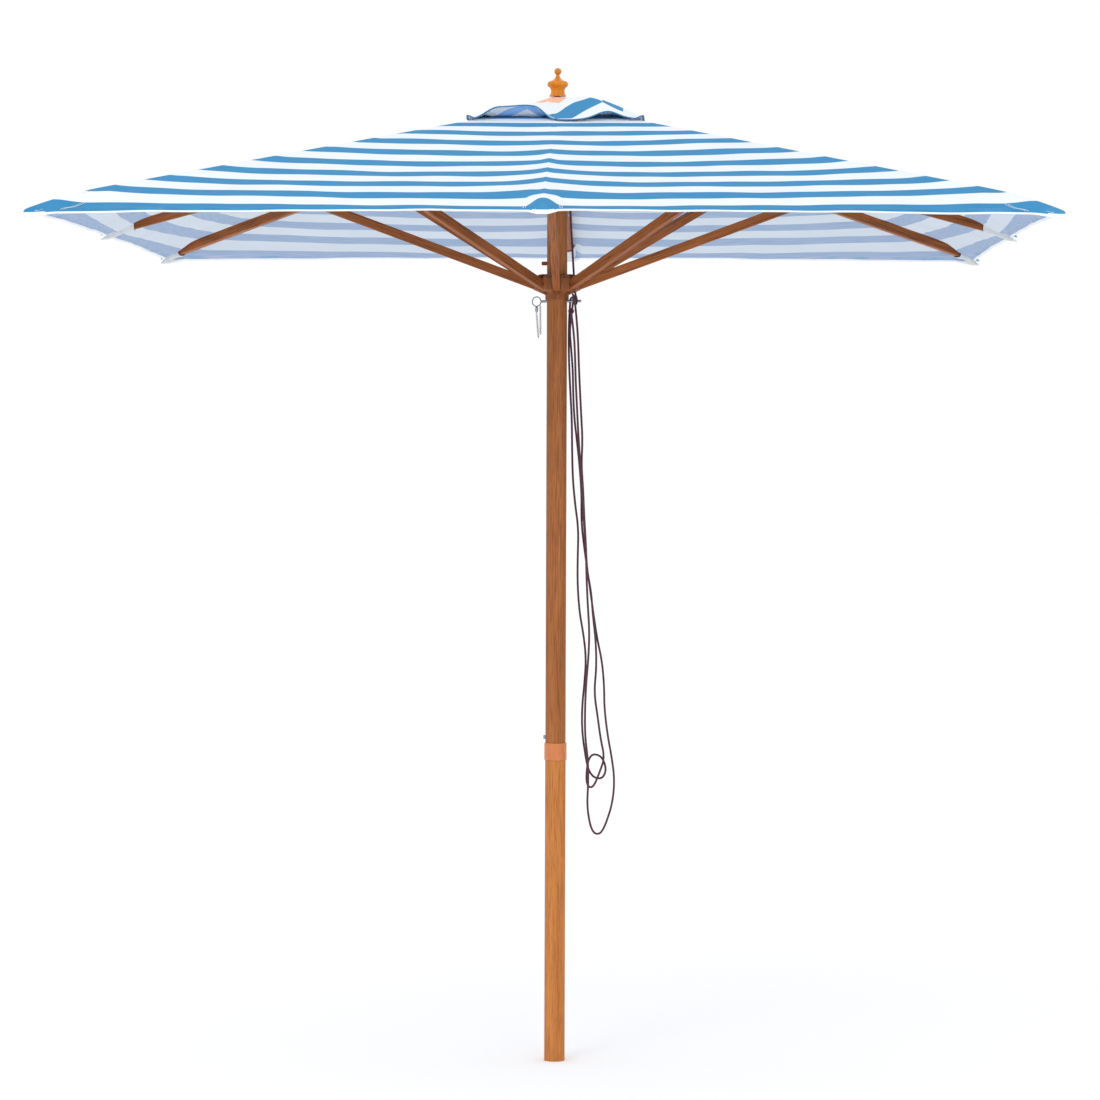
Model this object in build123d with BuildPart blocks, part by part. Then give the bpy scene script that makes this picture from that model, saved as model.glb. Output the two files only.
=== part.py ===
"""Square wooden market umbrella with a folding eight-rib frame.

Frame: origin at the centre of the pole's foot, +Z up the pole, -Y towards the front edge
of the canopy. Millimetres. The frame is modelled open, with the runner held up by its pin.
"""
from math import asin, atan2, cos, degrees, pi, radians, sin, sqrt, tan
import os

from build123d import *

os.makedirs("parts", exist_ok=True)

# ---- driving dimensions -------------------------------------------------------------
CANOPY_HALF = 1050.0            # half the side of the square canopy
POLE_R = 24.0                   # lower pole
UPPER_R = 23.6                  # upper pole, a little slimmer so that it slides into the ferrule
POLE_SHOULDER_Z = 704.0         # the lower pole is turned down above this, for the ferrule
POLE_JOINT_Z = 725.0            # where the upper pole stands on the lower one
POLE_TOP_Z = 2226.0
FERRULE_Z = (705.0, 745.0)
FERRULE_R = 26.3
SPIGOT_R = 13.0
SPIGOT_Z = (610.0, 840.0)
SCREW_Z = 758.0

PIVOT_R = 42.0                  # circle of the pivots in the hub and in the runner
HUB_PIVOT_Z = 2214.0
RUNNER_PIVOT_Z = 1813.0
LINK = 600.0                    # pivot to pivot, on a side rib and on its strut
SLOT_W = 18.0                   # slots in the hub and runner
PIVOT_PIN_R = 2.5
HOLE_R = PIVOT_PIN_R + 0.06

RIB_DEPTH = 24.0
RIB_W = 17.0
RIB_TIP_DEPTH = 9.0
RIB_TAPER = 200.0               # length over which a rib's top edge curves down to its tip
RIB_EYE_R = 9.0
RIB_RELIEF = 70.0               # length of the cut-away under a rib beside the pole
STRUT_DEPTH = 21.0
STRUT_PIVOT_DROP = 4.0          # strut centreline below its pivot in the runner
STRUT_END_LIFT = 4.0            # strut centreline above its pivot under the rib

SIDE_SLOPE = 15.0               # degrees, ribs to the middles of the sides
SIDE_EYE_LIFT = 8.0             # hub pivot above the rib's centreline
SIDE_TIP_S = CANOPY_HALF + 12.5
CORNER_SLOPE = 10.96
CORNER_EYE_LIFT = 5.2
CORNER_TIP_S = CANOPY_HALF * sqrt(2) + 12.0
CORNER_LINK_SLOPE = 15.0        # degrees, from a corner rib's hub pivot to its strut pivot

RUNNER_R = 55.0
RUNNER_BORE_R = 24.8
RUNNER_Z = (1778.0, 1837.0)
RUNNER_NECK_R = 27.5
HUB_R = 55.0
HUB_Z = (2194.0, 2226.0)
CORE_R = 30.5                   # wood left between the bore and the slots

LOCK_PIN_Z = 1774.6
LOCK_PIN_R = 3.0
LOCK_PIN_AZ = -22.5             # the pin's plain end points this way
LOCK_PIN_REACH = (-40.0, 61.5)  # along that direction, from the pole's axis
RING_R = 11.0
RING_WIRE_R = 1.15

PULLEY_Z = 2150.0
PULLEY_AZ = -30.0
PULLEY_PITCH_R = 27.5           # from the wheel's axle to the middle of the cord

CORD_D = 5.0
CLOTH = 1.5
VENT_HALF = 112.0               # half the side of the hole at the canopy's top
CAP_HALF = 200.0                # half the side of the vent cap
CROWN_HALF = 52.0
HEM_START = 920.0               # the canopy turns down from here to its edge
EDGE_Z = 1928.0
CLOTH_GAP = 0.6                 # between neighbouring cloth pieces

SIDES = {"right": 0, "back": 90, "left": 180, "front": 270}
CORNERS = {"back_right": 45, "back_left": 135, "front_left": 225, "front_right": 315}
AZIMUTHS = {**SIDES, **CORNERS}

# ---- the folding linkage ------------------------------------------------------------
RISE = HUB_PIVOT_Z - RUNNER_PIVOT_Z
SIDE_LINK_SLOPE = degrees(asin(RISE / (2 * LINK)))
CORNER_RIB_LINK = ((2 * LINK) ** 2 - RISE**2) / (
    2 * (2 * LINK - RISE * sin(radians(CORNER_LINK_SLOPE)))
)
CORNER_STRUT_LINK = 2 * LINK - CORNER_RIB_LINK


def ray(azimuth):
    return Vector(cos(radians(azimuth)), sin(radians(azimuth)), 0)


def rib_plane(azimuth, s, z, slope):
    """A vertical plane through the axis: its x runs outwards along the slope, its y is above."""
    out = ray(azimuth)
    along = out * cos(radians(slope)) + Vector(0, 0, sin(radians(slope)))
    return Plane(origin=out * s + Vector(0, 0, z), x_dir=along, z_dir=Vector(out.Y, -out.X, 0))


def finish(part, name):
    part.label = name
    export_step(part, f"parts/{name}.step")


def linkage(azimuth):
    """(rib slope, eye lift, tip distance, rib link, strut pivot's distance and height)."""
    if azimuth % 90:
        slope, lift, tip, link = CORNER_SLOPE, CORNER_EYE_LIFT, CORNER_TIP_S, CORNER_RIB_LINK
        link_slope = CORNER_LINK_SLOPE
    else:
        slope, lift, tip, link = SIDE_SLOPE, SIDE_EYE_LIFT, SIDE_TIP_S, LINK
        link_slope = SIDE_LINK_SLOPE
    s = PIVOT_R + link * cos(radians(link_slope))
    z = HUB_PIVOT_Z - link * sin(radians(link_slope))
    return slope, lift, tip, link, s, z


def make_rib(name, azimuth):
    slope, lift, tip, link, _, _ = linkage(azimuth)
    top, bottom = RIB_DEPTH / 2 - lift, -RIB_DEPTH / 2 - lift
    end = (tip - PIVOT_R) / cos(radians(slope))
    plane = rib_plane(azimuth, PIVOT_R, HUB_PIVOT_Z, -slope)
    with BuildPart() as rib:
        with BuildSketch(plane):
            with BuildLine():
                lower = Polyline(
                    (0, top), (0, -RIB_EYE_R), (RIB_RELIEF, bottom), (end, bottom),
                    (end, bottom + RIB_TIP_DEPTH),
                )
                curve = TangentArc(
                    (end - RIB_TAPER, top), (end, bottom + RIB_TIP_DEPTH), tangent=(1, 0)
                )
                Line(curve @ 0, lower @ 0)
            make_face()
            Circle(RIB_EYE_R)
            Circle(HOLE_R, mode=Mode.SUBTRACT)
        extrude(amount=RIB_W / 2, both=True)
        long_edges = rib.edges().filter_by(Axis(plane.origin, plane.x_dir))
        fillet(long_edges, 2.0)
    finish(rib.part, f"rib_{name}")


def make_strut(name, azimuth):
    _, _, _, _, s, z = linkage(azimuth)
    foot, head = Vector(PIVOT_R, RUNNER_PIVOT_Z), Vector(s, z)
    length = (head - foot).length
    tilt = degrees(asin((STRUT_END_LIFT + STRUT_PIVOT_DROP) / length))
    slope = degrees(atan2(head.Y - foot.Y, head.X - foot.X)) + tilt
    plane = rib_plane(azimuth, PIVOT_R, RUNNER_PIVOT_Z, slope)
    middle = -STRUT_PIVOT_DROP
    head_x = length * cos(radians(tilt))
    head_y = middle - STRUT_END_LIFT
    half = STRUT_DEPTH / 2
    with BuildPart() as strut:
        with BuildSketch(plane):
            with Locations(((head_x - 9) / 2, middle)):
                Rectangle(head_x + 9, STRUT_DEPTH)
            with Locations((head_x, middle)):
                Circle(half)
            with Locations((0, 0), (head_x, head_y)):
                Circle(HOLE_R, mode=Mode.SUBTRACT)
        extrude(amount=RIB_W / 2, both=True)
        fillet(strut.edges().filter_by(Axis(plane.origin, plane.x_dir)), 2.0)
        if azimuth % 90:
            with BuildSketch(plane):
                Circle(PIVOT_PIN_R)
            extrude(amount=SLOT_W / 2 + 2.7, both=True)
    finish(strut.part, f"strut_{name}")


def make_bracket(name, azimuth):
    """A steel strap folded round the strut's head and screwed up into the rib, with its pin."""
    slope, lift, _, link, s, z = linkage(azimuth)
    plane = rib_plane(azimuth, PIVOT_R, HUB_PIVOT_Z, -slope)
    bottom = -RIB_DEPTH / 2 - lift
    at = plane.to_local_coords(ray(azimuth) * s + Vector(0, 0, z))
    inner, sheet = RIB_W / 2 + 0.6, 1.6
    with BuildPart() as bracket:
        with BuildSketch(plane.offset(inner)):
            with BuildLine():
                Polyline(
                    (at.X - 20, bottom), (at.X + 20, bottom), (at.X + 7, at.Y - 5),
                    (at.X - 7, at.Y - 5), (at.X - 20, bottom),
                )
            make_face()
            with Locations((at.X, at.Y)):
                Circle(PIVOT_PIN_R, mode=Mode.SUBTRACT)
        extrude(amount=sheet)
        mirror(about=plane)
        with BuildSketch(plane):
            with Locations((at.X, bottom - sheet / 2)):
                Rectangle(40, sheet)
        extrude(amount=inner + sheet, both=True)
    with BuildPart() as pin:
        with BuildSketch(plane):
            with Locations((at.X, at.Y)):
                Circle(PIVOT_PIN_R)
        extrude(amount=inner + sheet + 1.2, both=True)
    both = Compound(children=[bracket.part, pin.part])
    finish(both, f"bracket_{name}")


# ---- pole ---------------------------------------------------------------------------
with BuildPart() as lower_pole:
    Cylinder(POLE_R, POLE_SHOULDER_Z, align=(Align.CENTER, Align.CENTER, Align.MIN))
    with BuildSketch(Plane.XY.offset(POLE_SHOULDER_Z)):
        Circle(POLE_R - 0.3)
    extrude(amount=POLE_JOINT_Z - POLE_SHOULDER_Z)
    with BuildSketch(Plane.XY.offset(POLE_JOINT_Z)):
        Circle(SPIGOT_R + 0.15)
    extrude(amount=-(POLE_JOINT_Z - SPIGOT_Z[0] + 5), mode=Mode.SUBTRACT)
finish(lower_pole.part, "lower_pole")

with BuildPart() as ferrule:
    with BuildSketch(Plane.XY.offset(FERRULE_Z[0])):
        Circle(FERRULE_R)
        Circle(POLE_R - 0.2, mode=Mode.SUBTRACT)
    extrude(amount=FERRULE_Z[1] - FERRULE_Z[0])
    fillet(ferrule.edges().filter_by(GeomType.CIRCLE).group_by(SortBy.RADIUS)[-1], 0.8)
finish(ferrule.part, "pole_ferrule")

with BuildPart() as spigot:
    with BuildSketch(Plane.XY.offset(SPIGOT_Z[0])):
        Circle(SPIGOT_R)
        Circle(SPIGOT_R - 2, mode=Mode.SUBTRACT)
    extrude(amount=SPIGOT_Z[1] - SPIGOT_Z[0])
finish(spigot.part, "spigot_tube")

SCREW_TIP = SPIGOT_R + 0.3
with BuildPart() as screw:
    with BuildSketch(Plane(origin=ray(180) * SCREW_TIP + Vector(0, 0, SCREW_Z), z_dir=ray(180))):
        Circle(2.0)
    extrude(amount=UPPER_R + 1 - SCREW_TIP)
    with BuildSketch(Plane(origin=ray(180) * (UPPER_R + 0.1) + Vector(0, 0, SCREW_Z), z_dir=ray(180))):
        Circle(4.4)
    extrude(amount=5.2)
    fillet(screw.edges().group_by(Axis.X)[0], 2.2)
finish(screw.part, "ferrule_screw")

PEG_Z, PEG_R, PEG_TIP = 1862.5, 4.5, 36.0
with BuildPart() as upper_pole:
    with BuildSketch(Plane.XY.offset(POLE_JOINT_Z)):
        Circle(UPPER_R)
    extrude(amount=POLE_TOP_Z - POLE_JOINT_Z)
    with BuildSketch(Plane.XY.offset(POLE_JOINT_Z)):
        Circle(SPIGOT_R + 0.05)
    extrude(amount=SPIGOT_Z[1] - POLE_JOINT_Z + 1, mode=Mode.SUBTRACT)
    with BuildSketch(Plane(origin=(0, 0, SCREW_Z), z_dir=ray(180))):
        Circle(2.05)
    extrude(amount=UPPER_R + 2, mode=Mode.SUBTRACT)
    with BuildSketch(Plane(origin=(0, 0, LOCK_PIN_Z), z_dir=ray(LOCK_PIN_AZ))):
        Circle(LOCK_PIN_R + 0.1)
    extrude(amount=UPPER_R + 2, both=True, mode=Mode.SUBTRACT)
    with BuildSketch(Plane(origin=ray(180) * 10 + Vector(0, 0, PEG_Z), z_dir=ray(180))):
        Circle(PEG_R)
    extrude(amount=UPPER_R, mode=Mode.SUBTRACT)
    with BuildSketch(Plane(origin=(0, 0, PULLEY_Z), x_dir=ray(PULLEY_AZ), z_dir=(0, 0, 1))):
        Rectangle(2.5 * UPPER_R, 8.4)
    extrude(amount=34, both=True, mode=Mode.SUBTRACT)
    with BuildSketch(Plane(origin=(0, 0, PULLEY_Z), z_dir=ray(PULLEY_AZ + 90))):
        Circle(2.55)
    extrude(amount=UPPER_R + 2, both=True, mode=Mode.SUBTRACT)
    with BuildSketch(Plane.XY.offset(POLE_TOP_Z)):
        Circle(4.1)
    extrude(amount=-26, mode=Mode.SUBTRACT)
finish(upper_pole.part, "upper_pole")

with BuildPart() as peg:
    with BuildSketch(Plane(origin=ray(180) * 10 + Vector(0, 0, PEG_Z), z_dir=ray(180))):
        Circle(PEG_R - 0.02)
    extrude(amount=PEG_TIP - 10)
    chamfer(peg.edges().group_by(Axis.X)[0], 0.8)
finish(peg.part, "stop_peg")

# ---- pulley in the pole -------------------------------------------------------------
wheel_plane = Plane(origin=(0, 0, PULLEY_Z), x_dir=ray(PULLEY_AZ), z_dir=ray(PULLEY_AZ + 90))
GROOVE_R = CORD_D / 2 + 0.3
with BuildPart() as wheel:
    with BuildSketch(wheel_plane):
        Circle(PULLEY_PITCH_R + 0.5)
        Circle(2.6, mode=Mode.SUBTRACT)
    extrude(amount=3.6, both=True)
    with BuildSketch(Plane(origin=wheel_plane.origin, x_dir=ray(PULLEY_AZ), z_dir=(0, 0, 1))):
        with Locations((PULLEY_PITCH_R, 0)):
            Circle(GROOVE_R)
    revolve(axis=Axis(wheel_plane.origin, wheel_plane.z_dir), mode=Mode.SUBTRACT)
finish(wheel.part, "pulley_wheel")

with BuildPart() as axle:
    with BuildSketch(wheel_plane):
        Circle(2.5)
    extrude(amount=UPPER_R - 1.5, both=True)
finish(axle.part, "pulley_axle")


# ---- hub and runner -----------------------------------------------------------------
def pivot_pins(azimuths, z, half_length):
    with BuildPart() as pins:
        for azimuth in azimuths:
            out = ray(azimuth)
            with BuildSketch(Plane(origin=out * PIVOT_R + Vector(0, 0, z),
                                   z_dir=Vector(-out.Y, out.X, 0))):
                Circle(PIVOT_PIN_R)
            extrude(amount=half_length, both=True)
    return pins.part


HUB_PIN_HALF = 14.0
with BuildPart() as hub:
    with BuildSketch(Plane.XY.offset(HUB_Z[0])):
        Circle(HUB_R)
    extrude(amount=HUB_Z[1] - HUB_Z[0])
    fillet(hub.edges().group_by(Axis.Z)[-1], 6)
    fillet(hub.edges().group_by(Axis.Z)[0], 4)
    with BuildSketch(Plane.XY.offset(HUB_Z[0])):
        Circle(UPPER_R + 0.05)
    extrude(amount=HUB_Z[1] - HUB_Z[0], mode=Mode.SUBTRACT)
    with BuildSketch(Plane.XY.offset(HUB_Z[0] - 1)):
        with PolarLocations(CORE_R + 20, 8):
            Rectangle(40, SLOT_W)
    extrude(amount=HUB_Z[1] - HUB_Z[0] + 2, mode=Mode.SUBTRACT)
    add(pivot_pins(AZIMUTHS.values(), HUB_PIVOT_Z, HUB_PIN_HALF), mode=Mode.SUBTRACT)
finish(hub.part, "top_hub")
finish(pivot_pins(AZIMUTHS.values(), HUB_PIVOT_Z, HUB_PIN_HALF), "hub_pins")

NECK_TOP_Z = 1789.0
DOME_EDGE_Z = 1827.0
SHOULDER_Z = 1801.0
GROOVE_H = 6.4
GROOVE_HALF_W = SLOT_W / 2 + 3
GUIDE_R = 4.5
GUIDES = (LOCK_PIN_AZ, 112.5)   # holes through the runner for the lift cord
RUNNER_PIN_HALF = 12.2
with BuildPart() as runner:
    with BuildSketch(Plane.XZ):
        with BuildLine():
            lines = Polyline(
                (RUNNER_BORE_R, RUNNER_Z[1]), (RUNNER_BORE_R, RUNNER_Z[0]),
                (RUNNER_NECK_R, RUNNER_Z[0]), (RUNNER_NECK_R, NECK_TOP_Z),
                (RUNNER_R, SHOULDER_Z), (RUNNER_R, DOME_EDGE_Z),
            )
            dome = ThreePointArc(
                lines @ 1, (RUNNER_R - 6.5, DOME_EDGE_Z + 6.5), (CORE_R + 6, RUNNER_Z[1])
            )
            Line(dome @ 1, lines @ 0)
        make_face()
    revolve(axis=Axis.Z)
    with BuildSketch(Plane.XY.offset(NECK_TOP_Z + 1.5)):
        with PolarLocations(CORE_R + 20, 8):
            Rectangle(40, SLOT_W)
    extrude(amount=60, mode=Mode.SUBTRACT)
    for corner in CORNERS.values():
        out = ray(corner)
        with BuildSketch(Plane(origin=Vector(0, 0, RUNNER_PIVOT_Z - GROOVE_H / 2), x_dir=out,
                               z_dir=(0, 0, 1))):
            with Locations((PIVOT_R + 20 - PIVOT_PIN_R - 0.4, 0)):
                Rectangle(40, 2 * GROOVE_HALF_W)
        extrude(amount=GROOVE_H, mode=Mode.SUBTRACT)
    with BuildSketch(Plane.XY.offset(RUNNER_Z[0])):
        for guide in GUIDES:
            with Locations(tuple(ray(guide) * 44.0)[:2]):
                Circle(GUIDE_R)
    extrude(amount=70, mode=Mode.SUBTRACT)
    add(pivot_pins(SIDES.values(), RUNNER_PIVOT_Z, RUNNER_PIN_HALF), mode=Mode.SUBTRACT)
finish(runner.part, "runner")
finish(pivot_pins(SIDES.values(), RUNNER_PIVOT_Z, RUNNER_PIN_HALF), "runner_pins")

# ---- ribs, struts, brackets ---------------------------------------------------------
for place, az in AZIMUTHS.items():
    make_rib(place, az)
    make_strut(place, az)
    make_bracket(place, az)

# ---- finial -------------------------------------------------------------------------
FINIAL_Z = 2250.0
BALL_R, BALL_NECK_R = 8.2, 3.6
ball_z = FINIAL_Z + 57.8
neck_z = ball_z - sqrt(BALL_R**2 - BALL_NECK_R**2)
with BuildPart() as finial:
    with BuildSketch(Plane.XZ):
        with BuildLine():
            foot = Polyline((0, FINIAL_Z), (20, FINIAL_Z), (19.2, FINIAL_Z + 2.5))
            waist = ThreePointArc(foot @ 1, (15.8, FINIAL_Z + 12), (19.4, FINIAL_Z + 21))
            bulge = ThreePointArc(waist @ 1, (24.3, FINIAL_Z + 28.5), (17.6, FINIAL_Z + 35.5))
            neck = ThreePointArc(bulge @ 1, (8.2, FINIAL_Z + 41.0), (BALL_NECK_R, neck_z))
            ball = ThreePointArc(neck @ 1, (BALL_R, ball_z), (0, ball_z + BALL_R))
            Line(ball @ 1, foot @ 0)
        make_face()
    revolve(axis=Axis.Z)
    with BuildSketch(Plane.XY.offset(FINIAL_Z)):
        Circle(4.1)
    extrude(amount=22, mode=Mode.SUBTRACT)
finish(finial.part, "finial")

with BuildPart() as stud:
    with BuildSketch(Plane.XY.offset(POLE_TOP_Z - 25)):
        Circle(4.0)
    extrude(amount=FINIAL_Z + 21 - (POLE_TOP_Z - 25))
finish(stud.part, "finial_stud")

with BuildPart() as washer:
    with BuildSketch(Plane.XY.offset(POLE_TOP_Z + 0.5)):
        Circle(21)
        Circle(4.3, mode=Mode.SUBTRACT)
    extrude(amount=FINIAL_Z - 3.2 - POLE_TOP_Z - 0.5)
finish(washer.part, "crown_washer")


# ---- canopy cloth -------------------------------------------------------------------
def rib_top(x, corner):
    """Height of a rib's top edge, at a distance x from the axis square to the canopy's side."""
    if corner:
        slope, lift, per_x, tip = CORNER_SLOPE, CORNER_EYE_LIFT, sqrt(2), CORNER_TIP_S
    else:
        slope, lift, per_x, tip = SIDE_SLOPE, SIDE_EYE_LIFT, 1.0, SIDE_TIP_S
    s = x * per_x
    z = HUB_PIVOT_Z + (RIB_DEPTH / 2 - lift) / cos(radians(slope))
    z -= (s - PIVOT_R) * tan(radians(slope))
    taper = RIB_TAPER * cos(radians(slope))
    past = max(0.0, (s - (tip - taper)) / taper)
    return z - (RIB_DEPTH - RIB_TIP_DEPTH) * past**2


def cloth_shell(levels):
    """A sheet over a square pyramid. levels: (half side, height of the upper face)."""
    with BuildPart() as shell:
        for drop, mode in ((0.0, Mode.ADD), (CLOTH, Mode.SUBTRACT)):
            for (half_a, z_a), (half_b, z_b) in zip(levels, levels[1:]):
                with BuildSketch(Plane.XY.offset(z_b - drop)):
                    Rectangle(2 * half_b, 2 * half_b)
                with BuildSketch(Plane.XY.offset(z_a - drop)):
                    Rectangle(2 * half_a, 2 * half_a)
                loft(ruled=True, mode=mode)
    return shell.part


def make_sector(name, shell, azimuth, half_angle, hole_half, hole_z):
    """The part of a shell within half_angle of an azimuth, outside a square hole."""
    apex = ray(azimuth) * (CLOTH_GAP / 2 / sin(radians(half_angle)))
    far = 3 * CANOPY_HALF
    left, right = (apex + ray(azimuth + turn) * far for turn in (half_angle, -half_angle))
    with BuildPart() as piece:
        add(shell)
        with BuildSketch(Plane.XY.offset(hole_z - CLOTH - 1)):
            Rectangle(2 * hole_half, 2 * hole_half)
        extrude(amount=hole_z, mode=Mode.SUBTRACT)
        with BuildSketch(Plane.XY.offset(EDGE_Z - 40)):
            Polygon((apex.X, apex.Y), (right.X, right.Y), (left.X, left.Y), align=None)
        extrude(amount=400, mode=Mode.INTERSECT)
    finish(piece.part, name)


CLOTH_LIFT = {False: 0.6 + CLOTH, True: 2.4 + CLOTH}     # over a side rib, over a corner rib
CANOPY_STEPS = {False: (870, 930, 990), True: (920, 965, 1010)}
for place, az in AZIMUTHS.items():
    corner = place in CORNERS
    stations = (VENT_HALF - 5, *CANOPY_STEPS[corner], CANOPY_HALF)
    levels = [(x, rib_top(x, corner) + CLOTH_LIFT[corner]) for x in stations]
    make_sector(f"canopy_{place}", cloth_shell(levels), az, 22.5, VENT_HALF, levels[0][1])

CAP_LEVELS = [(CROWN_HALF - 2, 2231.5), (CAP_HALF, 2181.5)]
for place, az in CORNERS.items():
    make_sector(f"vent_cap_{place}", cloth_shell(CAP_LEVELS), az, 45, CROWN_HALF + CLOTH_GAP,
                CAP_LEVELS[0][1])

with BuildPart() as crown:
    add(cloth_shell([(21.5, FINIAL_Z - 0.4), (CROWN_HALF, 2231.5)]))
    with BuildSketch(Plane.XY.offset(FINIAL_Z - 5)):
        Circle(4.3)
    extrude(amount=10, mode=Mode.SUBTRACT)
finish(crown.part, "crown_cloth")

# ---- locking pin, its ring and chain ------------------------------------------------
pin_way = ray(LOCK_PIN_AZ)
pin_side = ray(LOCK_PIN_AZ + 90)
with BuildPart() as lock_pin:
    start = pin_way * LOCK_PIN_REACH[0] + Vector(0, 0, LOCK_PIN_Z)
    with BuildSketch(Plane(origin=start, z_dir=pin_way)):
        Circle(LOCK_PIN_R)
    extrude(amount=LOCK_PIN_REACH[1] - LOCK_PIN_REACH[0])
    fillet(lock_pin.edges().filter_by(GeomType.CIRCLE), 1.2)
finish(lock_pin.part, "locking_pin")

RING_AT = pin_way * (LOCK_PIN_REACH[0] - RING_R - RING_WIRE_R) + Vector(0, 0, LOCK_PIN_Z)
with BuildPart() as ring:
    with BuildSketch(Plane(origin=RING_AT, x_dir=pin_way, z_dir=(0, 0, 1))):
        with Locations((RING_R, 0)):
            Circle(RING_WIRE_R)
    revolve(axis=Axis(RING_AT, pin_side))
finish(ring.part, "pin_ring")

SWIVEL_TOP_Z = LOCK_PIN_Z - RING_R - RING_WIRE_R - 0.2
with BuildPart() as swivel:
    with BuildSketch(Plane(origin=RING_AT, x_dir=pin_way, z_dir=pin_side * -1)):
        with BuildLine():
            top_y = SWIVEL_TOP_Z - LOCK_PIN_Z
            Polyline((0, top_y), (2.4, top_y), (3.5, top_y - 2), (3.5, top_y - 10),
                     (1.6, top_y - 13), (1.6, top_y - 15), (0, top_y - 15), (0, top_y))
        make_face()
    revolve(axis=Axis(RING_AT, (0, 0, 1)))
finish(swivel.part, "chain_swivel")

LINK_R, LINK_WIRE_R, LINK_PITCH = 2.3, 0.45, 3.5


def link_planes(top, bottom, first_turn):
    """Where the round links stand from top to bottom, each turned a quarter from the last."""
    way = bottom - top
    count = int(way.length / LINK_PITCH)
    way = way.normalized()
    across = pin_side.cross(way).normalized()
    return [
        Plane(origin=top + way * (LINK_R + i * LINK_PITCH), x_dir=way,
              z_dir=across if (i + first_turn) % 2 else pin_side)
        for i in range(count)
    ]


SWIVEL_FOOT = RING_AT + Vector(0, 0, SWIVEL_TOP_Z - 15.6 - LOCK_PIN_Z)
CHAIN_FOOT = RING_AT + pin_way * 5.0 + Vector(0, 0, 1690.0 - LOCK_PIN_Z)
CHAIN_TOP = RING_AT + pin_way * (RING_R * 0.86) + Vector(0, 0, -RING_R * 0.86)
CHAIN_TAIL = CHAIN_FOOT + pin_way * 5.2 + Vector(0, 0, 7)
with BuildPart() as chain:
    with Locations(*link_planes(SWIVEL_FOOT, CHAIN_FOOT, 0), *link_planes(CHAIN_TOP, CHAIN_TAIL, 1)):
        Torus(LINK_R, LINK_WIRE_R)
finish(chain.part, "chain_links")

# ---- lift cord ----------------------------------------------------------------------
# Its route: a knot under the runner, up through the runner, over the pulley, down
# through the runner again, twice round the locking pin, a short loop with a curl in it,
# over the pin, a long loop, and a last knot at the pin.
pulley_out = ray(PULLEY_AZ) * PULLEY_PITCH_R
pulley_top = PULLEY_Z + PULLEY_PITCH_R
HAUL = [
    (-16.8, 40.7, 1784),
    (-16.8, 40.7, 1838),
    (-pulley_out.X, -pulley_out.Y, 2108),
    (-pulley_out.X, -pulley_out.Y, pulley_top),
    (pulley_out.X, pulley_out.Y, pulley_top),
    (pulley_out.X, pulley_out.Y, 2108),
    (41.4, -16.6, 1792),
    (46.2, -12.4, 1783),
    (46.0, -12.6, 1767),
    (40.6, -24.4, 1767),
    (39.8, -24.0, 1783),
    (31.5, -6.0, 1783),
    (30.4, -4.6, 1766),
    (28.4, -2.8, 1735),
]
SHORT_LOOP = [
    (28.4, -2.8, 1735), (27.6, -2.0, 1690), (28.4, -1.2, 1632), (32.0, -1.0, 1560),
    (35.6, -1.0, 1500), (36.4, -1.0, 1430), (38.0, -1.0, 1365), (43.4, -1.0, 1306),
    (52.0, -1.0, 1245), (50.4, -1.0, 1180), (50.0, -1.0, 1117), (55.0, -1.0, 1050),
    (64.4, -1.0, 1000), (71.0, -1.0, 943), (67.2, -1.0, 884), (61.6, -1.0, 828),
    (62.0, -1.0, 772), (69.0, -1.2, 722), (76.0, -1.6, 684), (89.0, -2.4, 664),
    (110.0, -3.8, 661), (120.0, -5.0, 684), (109.0, -6.2, 714), (87.0, -7.4, 721),
    (76.4, -8.4, 704), (73.6, -9.0, 683), (72.8, -9.5, 666), (73.6, -10.0, 653),
    (77.2, -10.4, 644.4), (83.4, -10.8, 641.4), (89.6, -11.2, 645.6), (95.6, -11.8, 657),
    (104.0, -12.6, 679), (115.4, -13.4, 711), (105.4, -13.6, 757), (98.8, -13.6, 806),
    (90.0, -13.6, 864), (95.4, -13.6, 922), (93.6, -13.6, 985), (86.4, -13.6, 1045),
    (82.6, -13.6, 1098), (72.0, -13.6, 1152), (69.4, -13.6, 1216), (65.2, -13.6, 1280),
    (62.6, -13.6, 1340), (58.4, -13.8, 1394), (61.0, -14.0, 1452), (57.6, -14.4, 1510),
    (54.4, -15.0, 1570), (51.6, -15.8, 1630), (49.6, -16.8, 1690), (46.0, -18.0, 1735),
    (43.4, -24.6, 1762),
]
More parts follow.
